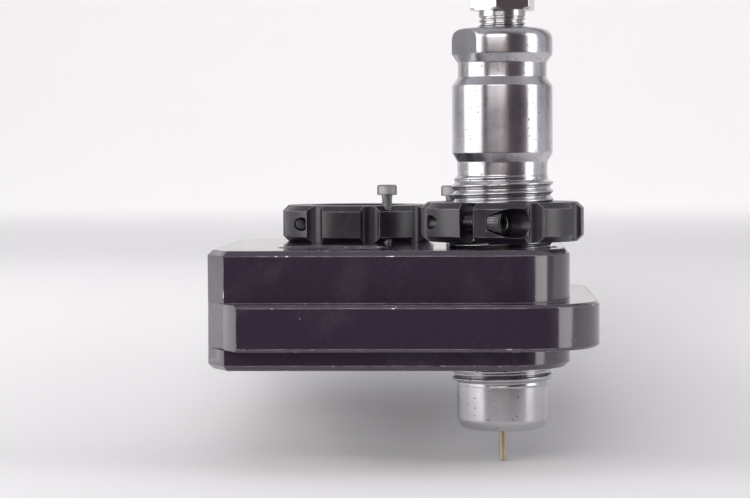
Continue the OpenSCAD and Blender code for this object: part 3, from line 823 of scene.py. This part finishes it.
class DIEHEAD_OT_set_stage(bpy.types.Operator):
    """Builds the pale floor and backdrop, the soft lights and the camera"""

    bl_idname = "diehead.set_stage"
    bl_label = "Set the stage"

    def execute(self, context):
        self.build_backdrop(context.scene.finish_colours)
        self.set_world(context.scene)
        self.set_lights(context.scene.stage_sizes)
        self.set_camera(context.scene)
        return {"FINISHED"}

    def build_backdrop(self, colours):
        """Floor and wall in one sheet: a straight floor, a low rise close behind the head made of two
        arcs, a shelf that runs back and a wall, carried sideways. The rise is too low to hide the head
        from behind. A second sheet continues the floor towards the camera. It is left out of
        reflections, so that the steel mirrors the dim room and not a white floor."""
        board = studio_board(colours)
        floor_z, near, front = CAD_LOW.z - 0.3 * MM, 0.085, 0.9
        foot, bend, brow, slope = -0.005, 0.12, 0.05, math.radians(40)
        wall_y, corner, wall_high = 1.0, 0.2, 1.5
        steps = 12
        up, last = np.linspace(0, slope, steps), np.linspace(0, math.pi / 2, steps)
        down = up[::-1]
        rise_y, rise_z = foot + bend * np.sin(up), bend * (1 - np.cos(up))
        brow_y = rise_y[-1] + brow * (math.sin(slope) - np.sin(down))
        brow_z = rise_z[-1] + brow * (np.cos(down) - math.cos(slope))
        corner_y = wall_y - corner + corner * np.sin(last)
        corner_z = brow_z[-1] + corner * (1 - np.cos(last))
        self.sheet("floor_and_backdrop",
                   np.concatenate([[-near], rise_y, brow_y[1:], corner_y, [wall_y]]),
                   floor_z + np.concatenate([[0], rise_z, brow_z[1:], corner_z, [wall_high]]), board)
        front_floor = self.sheet("front_floor", np.array([-front, -near]), np.full(2, floor_z), board)
        front_floor.visible_glossy = False

    def sheet(self, name, y, z, board):
        """A profile in Y and Z carried along X, facing up and forwards."""
        half_width = 1.9
        x = np.array([-half_width, half_width])
        points = np.stack([np.repeat(x, len(y)), np.tile(y, 2), np.tile(z, 2)], axis=-1)
        i = np.arange(len(y) - 1)
        faces = np.column_stack([i + 1, i, i + len(y), i + len(y) + 1])
        made = mesh_piece(name, points, faces.tolist(), 80)
        made.data.materials.append(board)
        return made

    def set_world(self, scene):
        """Soft room light, worked out from the direction alone: a dim, warm room on the camera's side,
        which the polished steel shows as its dark middle, and pale paper on the other three sides."""
        world = bpy.data.worlds.new("paper_tent")
        world.use_nodes = True
        tree = world.node_tree
        tree.nodes.clear()
        way = add(tree, "ShaderNodeSeparateXYZ", {0: add(tree, "ShaderNodeTexCoord").outputs["Generated"]})
        depth = add(tree, "ShaderNodeMapRange", {
            "Value": way.outputs["Y"], "From Min": -1.0, "From Max": 1.0})
        tent = add(tree, "ShaderNodeValToRGB", {"Fac": depth.outputs["Result"]},
                   stops=((0.14, linear("#766970")), (0.42, linear("#f6f5fb"))))
        sky = add(tree, "ShaderNodeBackground", {"Color": tent.outputs["Color"], "Strength": 0.62})
        add(tree, "ShaderNodeOutputWorld", {"Surface": sky.outputs["Background"]})
        scene.world = world
        scene.view_settings.view_transform = "Standard"

    def set_lights(self, s):
        """Soft boxes: one at each side, one high in front and one that lifts the backdrop. Two narrow warm
        strips stand for the room's lamps, and only the die mirrors them. Each row gives a name, the
        direction round the head and above the floor in degrees, the distance, the width and the height
        in metres, and the power. No light is itself in view."""
        centre, wall = Vector((0.0, 0.0, 0.0)), Vector((0.0, 1.0, 0.15))
        for name, turn, rise, away, wide, tall, power in (
                ("left_soft_box", -70, 14, 0.55, 0.51, 0.5, s.left_power),
                ("right_soft_box", 71, 14, 0.6, 0.24, 0.5, s.right_power),
                ("top_soft_box", -12, 24, 0.7, 0.5, 0.3, s.top_power),
                ("backdrop_light", 180, 44, 0.86, 1.6, 0.3, s.back_power),
                ("warm_left_strip", -4, 4, 0.9, 0.03, 0.6, s.strip_power),
                ("warm_right_strip", 11, 4, 0.9, 0.03, 0.6, s.strip_power)):
            lamp = bpy.data.lights.new(name, "AREA")
            lamp.shape = "RECTANGLE"
            lamp.size, lamp.size_y, lamp.energy = wide, tall, power
            lamp.color = linear("#d49a76" if "warm" in name else "#fffdfb")[:3]
            holder = bpy.data.objects.new(name, lamp)
            bpy.context.collection.objects.link(holder)
            holder.visible_camera = False
            if "warm" in name:
                shown = bpy.data.collections.new(name + "_receivers")
                shown.objects.link(bpy.data.objects["turned_die"])
                holder.light_linking.receiver_collection = shown
            t, e = math.radians(turn), math.radians(rise)
            holder.location = away * Vector((math.sin(t) * math.cos(e), -math.cos(t) * math.cos(e),
                                             math.sin(e)))
            goal = wall if name == "backdrop_light" else centre
            holder.rotation_euler = (goal - holder.location).to_track_quat("-Z", "Y").to_euler()

    def set_camera(self, scene):
        """Camera a little above the top face, turned slightly to the left, with a long lens."""
        s = scene.stage_sizes
        camera = bpy.data.cameras.new("camera")
        camera.sensor_width = 36.0
        camera.lens = s.lens
        holder = bpy.data.objects.new("camera", camera)
        bpy.context.collection.objects.link(holder)
        holder.location = (s.camera_x, -s.camera_away, s.camera_up)
        holder.rotation_euler = Euler((math.radians(90) - s.camera_dip, s.camera_roll, s.camera_turn), "XYZ")
        scene.camera = holder


class StageSizes(bpy.types.PropertyGroup):
    """Camera and lights."""

    lens: bpy.props.FloatProperty(name="Lens", description="Focal length of the camera", default=118.6,
                                  unit="CAMERA")
    camera_x: bpy.props.FloatProperty(name="Camera across", description="Camera's place along X",
                                      default=12.92 * MM, unit="LENGTH")
    camera_away: size("Camera distance", 557.0, "Camera's distance in front of the stations' middle")
    camera_up: size("Camera height", 20.66, "Camera's height above the top face")
    camera_dip: angle("Camera dip", 2.235, "How far the camera looks down")
    camera_turn: angle("Camera turn", 2.338, "How far the camera is turned to the left")
    camera_roll: angle("Camera roll", 0.229, "How far the camera leans")
    left_power: watts("Left power", 1.75, "Power of the left soft box")
    right_power: watts("Right power", 0.95, "Power of the right soft box")
    top_power: watts("Top power", 1.8, "Power of the top soft box")
    back_power: watts("Backdrop power", 3.1, "Power of the backdrop's light")
    strip_power: watts("Strip power", 0.05, "Power of each warm strip in the room")


class DIEHEAD_PT_panel(bpy.types.Panel):
    """Lists the steps and the sizes"""

    bl_idname = "DIEHEAD_PT_panel"
    bl_label = "Die head"
    bl_space_type = "VIEW_3D"
    bl_region_type = "UI"
    bl_category = "Die head"

    def draw(self, context):
        for operator in OPERATORS:
            self.layout.operator(operator.bl_idname)
        for name, group in GROUPS.items():
            box = self.layout.box()
            box.label(text=group.__doc__)
            for key in group.__annotations__:
                box.prop(getattr(context.scene, name), key)


GROUPS = {
    "head_threads": HeadThreads, "edge_sizes": EdgeSizes, "die_sizes": DieSizes, "unit_sizes": UnitSizes,
    "screw_sizes": ScrewSizes, "finish_colours": FinishColours, "stage_sizes": StageSizes,
}
OPERATORS = (
    DIEHEAD_OT_finish_plate, DIEHEAD_OT_finish_rings, DIEHEAD_OT_turn_die, DIEHEAD_OT_turn_unit,
    DIEHEAD_OT_turn_screws, DIEHEAD_OT_set_stage,
)
CLASSES = tuple(GROUPS.values()) + OPERATORS + (DIEHEAD_PT_panel,)


def register():
    for cls in CLASSES:
        bpy.utils.register_class(cls)
    for name, group in GROUPS.items():
        setattr(bpy.types.Scene, name, bpy.props.PointerProperty(type=group))


def unregister():
    for name in GROUPS:
        delattr(bpy.types.Scene, name)
    for cls in reversed(CLASSES):
        bpy.utils.unregister_class(cls)


def main():
    register()
    bpy.ops.diehead.finish_plate()
    bpy.ops.diehead.finish_rings()
    bpy.ops.diehead.turn_die()
    bpy.ops.diehead.turn_unit()
    bpy.ops.diehead.turn_screws()
    bpy.ops.diehead.set_stage()


if __name__ == "__main__":
    main()
